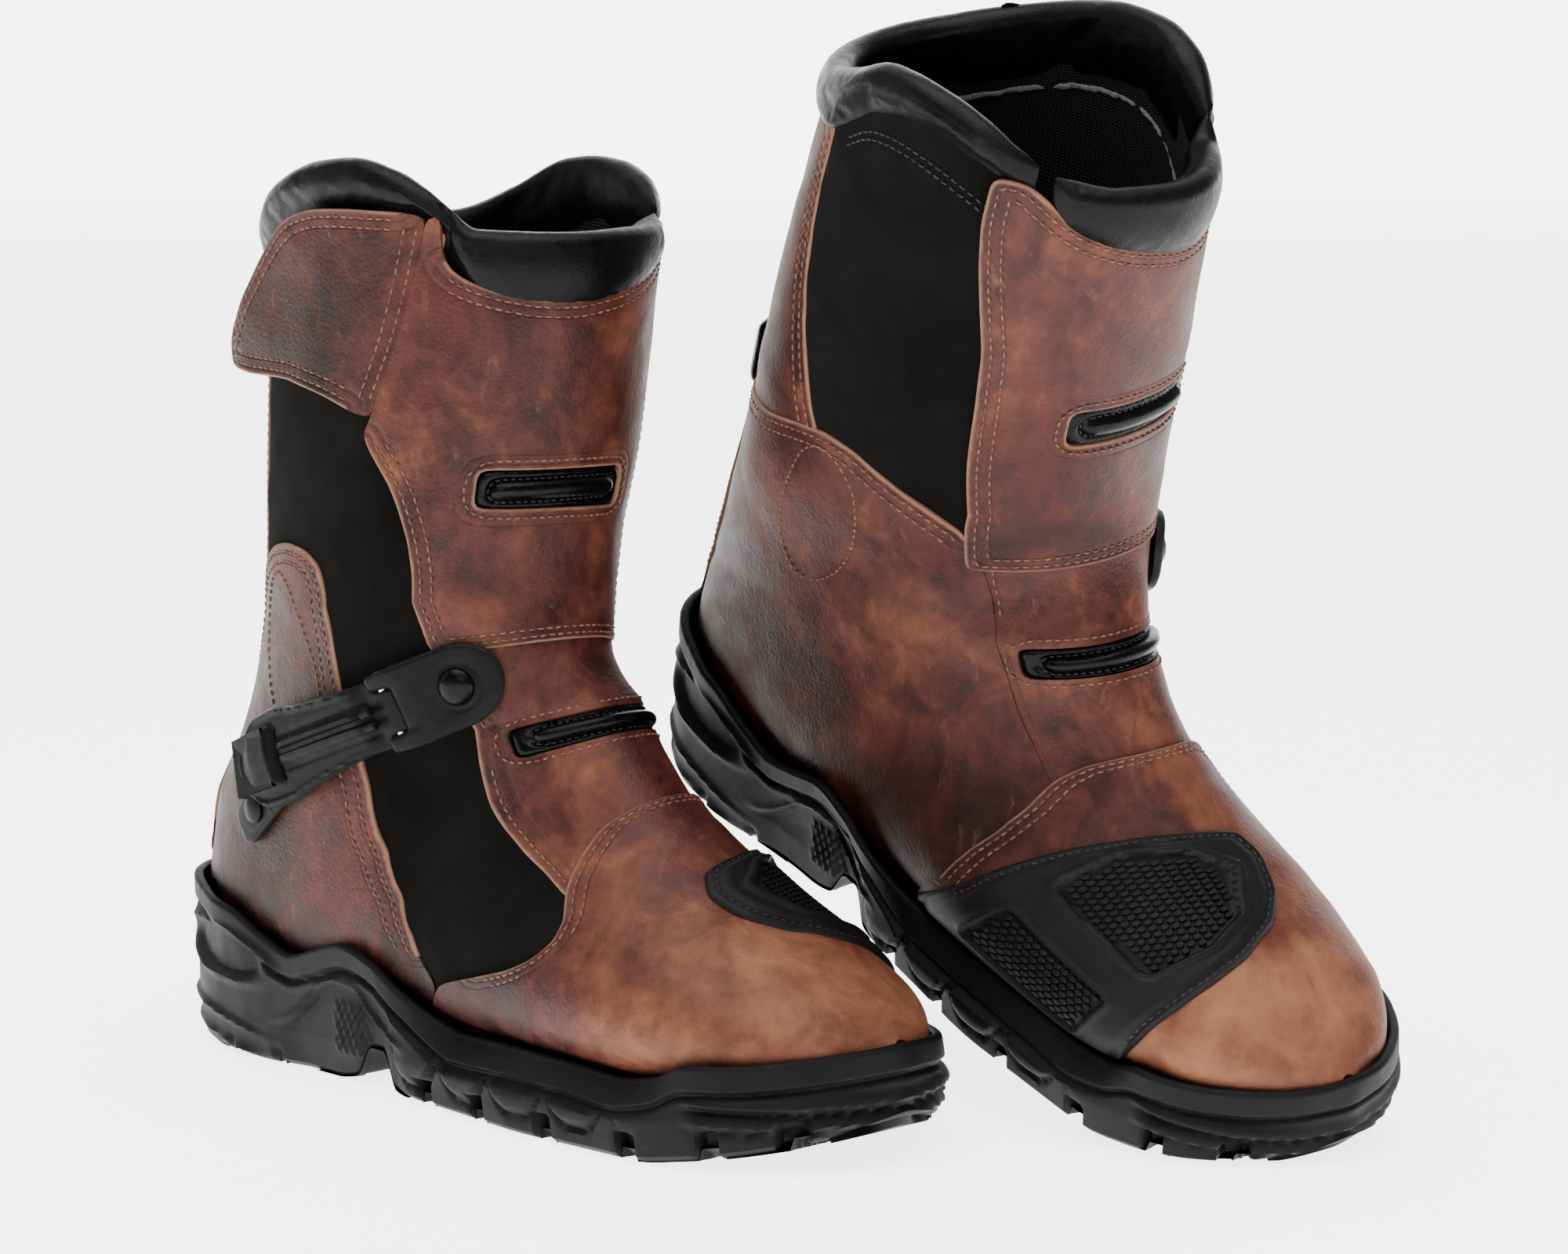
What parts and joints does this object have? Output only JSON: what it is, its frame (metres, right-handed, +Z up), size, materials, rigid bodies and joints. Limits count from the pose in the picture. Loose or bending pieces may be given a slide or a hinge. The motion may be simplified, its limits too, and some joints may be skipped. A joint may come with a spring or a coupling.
{
  "type": "motorcycle riding boots",
  "caption": "Pair of mid-height leather riding boots with padded collars, stretch gussets, lever buckles, closing flaps and lugged rubber soles; one boot leans against the other.",
  "frame": {"origin": "middle of the pair's footprint, on the floor the right boot's sole stands on", "axes": "+X towards the toes, +Y towards the wearer's left, +Z up"},
  "size_m": [0.4034, 0.216, 0.3393],
  "materials": {
    "rubber": "matte moulded",
    "board": "plain fibre board",
    "steel": "bright",
    "mesh": "black mesh",
    "leather": "distressed, satin",
    "gusset": "black suede",
    "collar": "padded black, satin",
    "insert": "padded, glossy black",
    "pad": "moulded, textured",
    "buckle": "moulded black",
    "velcro": "hook and loop"
  },
  "bodies": {
    "right_boot": {"right_outsole": "rubber", "right_insole_board": "board", "right_shank": "steel", "right_footbed": "mesh", "right_lining": "mesh", "right_toe_puff": "board", "right_heel_counter": "board", "right_vamp": "leather", "right_quarter_lateral": "leather", "right_quarter_medial": "leather", "right_back_strip": "leather", "right_shin_panel": "leather", "right_instep_panel": "leather", "right_gusset_lateral": "gusset", "right_gusset_medial": "gusset", "right_collar_front": "collar", "right_collar_rear": "collar", "right_flap_loop": "velcro", "right_shin_insert_upper": "insert", "right_shin_insert_lower": "insert", "right_shift_pad": "pad", "right_achilles_pad": "pad", "right_tab_rivet": "buckle", "right_ladder_strap": "buckle", "right_anchor_rivet": "steel"},
    "right_tab": {"right_buckle_tab": "buckle", "right_hinge_pin": "steel"},
    "right_lever": {"right_buckle_lever": "buckle"},
    "right_flap_body": {"right_flap": "leather", "right_flap_hook": "velcro"},
    "left_boot": {"left_outsole": "rubber", "left_insole_board": "board", "left_shank": "steel", "left_footbed": "mesh", "left_lining": "mesh", "left_toe_puff": "board", "left_heel_counter": "board", "left_vamp": "leather", "left_quarter_lateral": "leather", "left_quarter_medial": "leather", "left_back_strip": "leather", "left_shin_panel": "leather", "left_instep_panel": "leather", "left_gusset_lateral": "gusset", "left_gusset_medial": "gusset", "left_collar_front": "collar", "left_collar_rear": "collar", "left_flap_loop": "velcro", "left_shin_insert_upper": "insert", "left_shin_insert_lower": "insert", "left_shift_pad": "pad", "left_achilles_pad": "pad", "left_tab_rivet": "buckle", "left_ladder_strap": "buckle", "left_anchor_rivet": "steel"},
    "left_tab": {"left_buckle_tab": "buckle", "left_hinge_pin": "steel"},
    "left_lever": {"left_buckle_lever": "buckle"},
    "left_flap_body": {"left_flap": "leather", "left_flap_hook": "velcro"}
  },
  "joints": [
    {"name": "left_boot_lift", "type": "slide", "parent": "right_boot", "child": "left_boot", "axis": [0, 0, 1], "range_m": [0, 0.2]},
    {"name": "right_tab_swivel", "type": "hinge", "parent": "right_boot", "child": "right_tab", "pos_m": [-0.04332, -0.09148, 0.13065], "axis": [0.4625, -0.877, -0.1302], "range_deg": [-6, 0]},
    {"name": "right_lever_hinge", "type": "hinge", "parent": "right_tab", "child": "right_lever", "pos_m": [-0.06408, -0.09947, 0.12198], "axis": [-0.319, -0.2496, 0.9143], "range_deg": [0, 105]},
    {"name": "right_flap_hinge", "type": "hinge", "parent": "right_boot", "child": "right_flap_body", "pos_m": [-0.06099, -0.09944, 0.23876], "axis": [0.3199, 0.1305, 0.9384], "range_deg": [0, 100]},
    {"name": "left_tab_swivel", "type": "hinge", "parent": "left_boot", "child": "left_tab", "pos_m": [0.09481, 0.07313, 0.17069], "axis": [0.5105, 0.8473, -0.1464], "range_deg": [0, 6]},
    {"name": "left_lever_hinge", "type": "hinge", "parent": "left_tab", "child": "left_lever", "pos_m": [0.07367, 0.08421, 0.17106], "axis": [-0.0349, -0.0946, -0.9949], "range_deg": [0, 105]},
    {"name": "left_flap_hinge", "type": "hinge", "parent": "left_boot", "child": "left_flap_body", "pos_m": [0.11473, 0.06168, 0.27809], "axis": [-0.5879, 0.3314, -0.738], "range_deg": [0, 100]}
  ]
}
